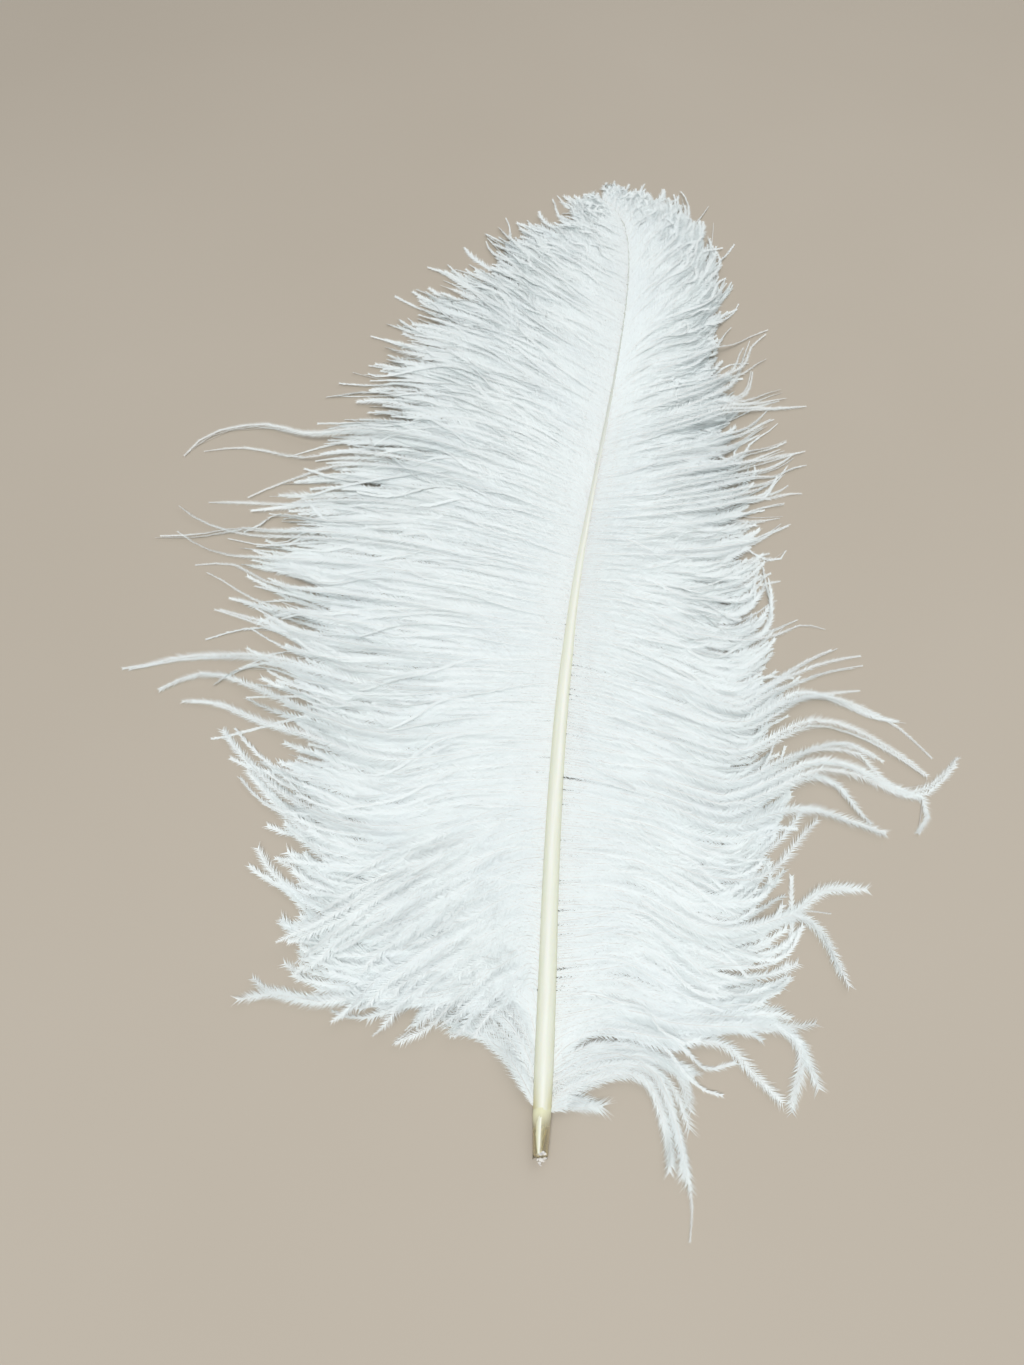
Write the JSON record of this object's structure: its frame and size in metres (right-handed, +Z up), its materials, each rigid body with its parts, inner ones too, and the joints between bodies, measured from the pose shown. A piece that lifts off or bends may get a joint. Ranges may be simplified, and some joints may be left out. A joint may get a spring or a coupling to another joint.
{
  "type": "ostrich feather",
  "caption": "White ostrich wing plume lying flat: horn shaft with a hollow open quill, loose drooping barbs on both sides and downy tufts at the base.",
  "frame": {"origin": "under the middle of the whole feather, on the surface that it lies on", "axes": "+Y along the feather from its quill to its tip, +X to the feather's right, +Z up, towards its upper side"},
  "size_m": [0.435, 0.66, 0.0211],
  "materials": {
    "shaft_horn": "smooth pale keratin, cream with a yellower edge, clear amber horn at the open quill",
    "dried_pulp": "dry papery white membrane",
    "vane_barbs": "soft white barbs fringed with fine barbules",
    "base_down": "fluffy white down"
  },
  "bodies": {
    "root": {"shaft": "shaft_horn", "pulp_cap": "dried_pulp", "left_vane": "vane_barbs", "right_vane": "vane_barbs", "left_down": "base_down", "right_down": "base_down"}
  },
  "joints": []
}
